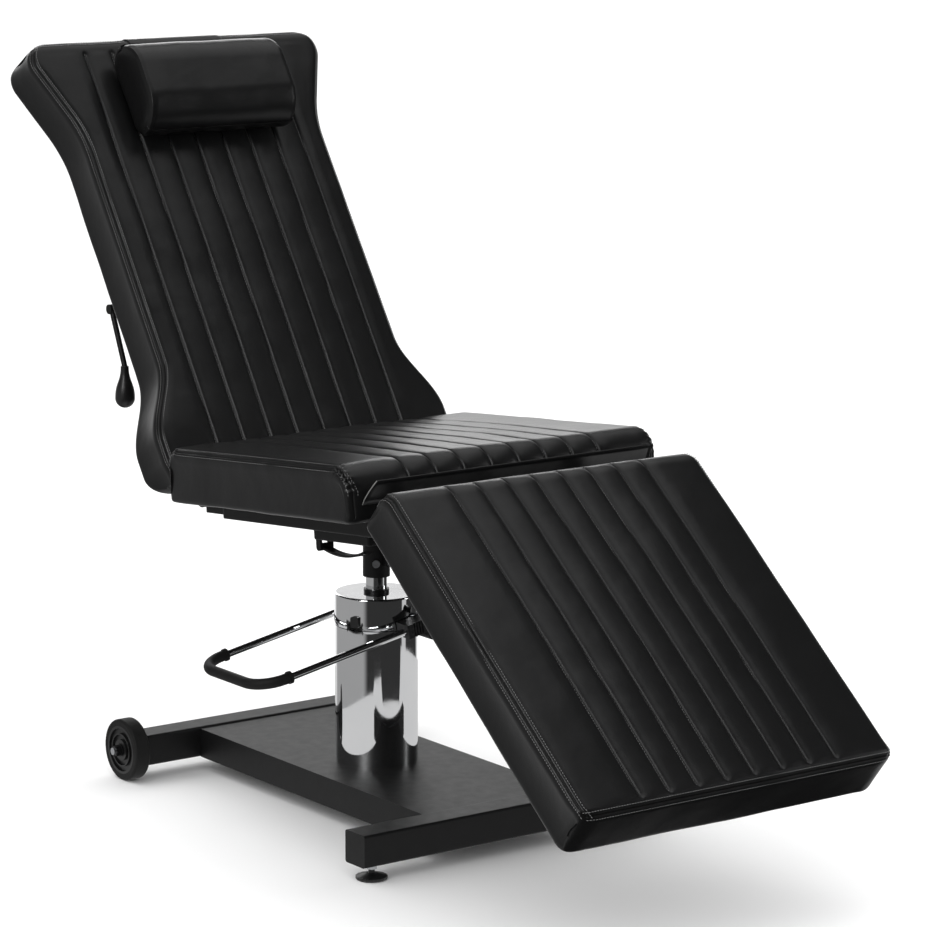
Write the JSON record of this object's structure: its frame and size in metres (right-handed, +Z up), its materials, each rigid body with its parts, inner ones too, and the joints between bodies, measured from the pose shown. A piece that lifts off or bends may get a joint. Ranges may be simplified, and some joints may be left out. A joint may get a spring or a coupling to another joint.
{
  "type": "tattoo chair",
  "caption": "Hydraulic treatment chair with reclining hourglass back, hinged leg rest, head bolster, swivelling lift column and rolling base.",
  "frame": {"origin": "on the floor, under the middle of the chair's plan", "axes": "+Z up, the sitter faces -Y, +X to the sitter's left"},
  "size_m": [0.57, 1.5393, 1.1548],
  "materials": {
    "vinyl": "satin",
    "powder_coat": "satin",
    "chrome": "polished",
    "zinc_steel": "brushed",
    "plastic": "matte",
    "rubber": "matte",
    "plywood": "raw"
  },
  "bodies": {
    "base": {"front_crossbar": "powder_coat", "rear_crossbar": "powder_coat", "base_plate": "powder_coat", "bar_end_plates": "powder_coat", "wheel_axles": "zinc_steel", "wheel_spacers": "zinc_steel", "axle_nuts": "zinc_steel", "foot_nuts": "zinc_steel", "pump_flange": "zinc_steel", "flange_bolts": "zinc_steel", "pump_cylinder": "zinc_steel", "rod_gland": "rubber", "pump_cover": "chrome", "cover_cap": "chrome", "cover_tab": "plastic", "pedal_pins": "zinc_steel"},
    "left_wheel": {"left_tyre": "rubber", "left_hub": "plastic"},
    "right_wheel": {"right_tyre": "rubber", "right_hub": "plastic"},
    "left_levelling_foot": {"left_foot": "plastic"},
    "right_levelling_foot": {"right_foot": "plastic"},
    "ram": {"piston_rod": "chrome", "piston_head": "zinc_steel"},
    "seat": {"swivel_collar": "powder_coat", "clamp_screws": "chrome", "collar_gusset": "powder_coat", "mechanism_pan": "powder_coat", "seat_rails": "powder_coat", "seat_rail_caps": "plastic", "seat_cross_tubes": "powder_coat", "hinge_arms": "powder_coat", "seat_board": "plywood", "seat_cushion": "vinyl", "gap_flap": "vinyl", "link_anchors": "powder_coat", "gas_spring_tube": "powder_coat", "strut_tube": "powder_coat"},
    "pedal": {"pedal_yoke": "powder_coat", "pedal_tube": "chrome", "pedal_sleeve": "rubber"},
    "paddle": {"swivel_paddle": "powder_coat"},
    "backrest": {"back_cushion": "vinyl", "back_board": "plywood", "back_rails": "powder_coat", "back_cross_tubes": "powder_coat", "back_pivot": "powder_coat", "lever_bracket": "powder_coat", "head_pillow": "vinyl", "pillow_strap": "vinyl"},
    "release_lever": {"lever_rod": "powder_coat", "lever_grip": "plastic"},
    "spring_rod": {"gas_spring_rod": "chrome"},
    "ratchet_rod": {"strut_rod": "chrome"},
    "leg_rest": {"leg_cushion": "vinyl", "leg_board": "plywood", "leg_rails": "powder_coat", "leg_cross_tubes": "powder_coat", "leg_pivot": "powder_coat"}
  },
  "joints": [
    {"name": "seat_lift", "type": "slide", "parent": "base", "child": "ram", "axis": [0, 0, 1], "range_m": [0, 0.18]},
    {"name": "seat_swivel", "type": "hinge", "parent": "ram", "child": "seat", "pos_m": [0, 0.127, 0.3653], "axis": [0, 0, 1], "continuous": true},
    {"name": "back_recline", "type": "hinge", "parent": "seat", "child": "backrest", "pos_m": [0, 0.35681, 0.47494], "axis": [-1, 0, 0], "range_deg": [0, 61]},
    {"name": "leg_raise", "type": "hinge", "parent": "seat", "child": "leg_rest", "pos_m": [0, -0.242, 0.516], "axis": [-1, 0, 0], "range_deg": [-18, 44], "deforming": ["gap_flap"]},
    {"name": "spring_stroke", "type": "slide", "parent": "seat", "child": "spring_rod", "axis": [0, 1, 0], "range_m": [-0.0411, 0]},
    {"name": "ratchet_stroke", "type": "slide", "parent": "seat", "child": "ratchet_rod", "axis": [0, -1, 0], "range_m": [-0.01396, 0.0334]},
    {"name": "pedal_pump", "type": "hinge", "parent": "base", "child": "pedal", "pos_m": [0.045, 0.127, 0.303], "axis": [0, 1, 0], "range_deg": [-24, 8], "stiffness_Nm_per_rad": 6, "springref_deg": 17.19},
    {"name": "swivel_release", "type": "hinge", "parent": "seat", "child": "paddle", "pos_m": [-0.084, 0.14651, 0.41866], "axis": [-1, 0, 0], "range_deg": [0, 4], "stiffness_Nm_per_rad": 0.6, "springref_deg": -17.19},
    {"name": "recline_release", "type": "hinge", "parent": "backrest", "child": "release_lever", "pos_m": [-0.205, 0.57865, 0.74977], "axis": [1, 0, 0], "range_deg": [0, 20], "stiffness_Nm_per_rad": 0.8, "springref_deg": -17.19},
    {"name": "left_wheel_spin", "type": "hinge", "parent": "base", "child": "left_wheel", "pos_m": [0.2545, 0.465, 0.05], "axis": [1, 0, 0], "continuous": true},
    {"name": "right_wheel_spin", "type": "hinge", "parent": "base", "child": "right_wheel", "pos_m": [-0.2545, 0.465, 0.05], "axis": [1, 0, 0], "continuous": true},
    {"name": "left_foot_screw", "type": "slide", "parent": "base", "child": "left_levelling_foot", "axis": [0, 0, -1], "range_m": [0, 0.012]},
    {"name": "right_foot_screw", "type": "slide", "parent": "base", "child": "right_levelling_foot", "axis": [0, 0, -1], "range_m": [0, 0.012]}
  ],
  "couplings": [
    {"joint": "spring_stroke", "follows": "back_recline", "m_per_rad": -0.038137},
    {"joint": "ratchet_stroke", "follows": "leg_raise", "m_per_rad": 0.042836}
  ]
}
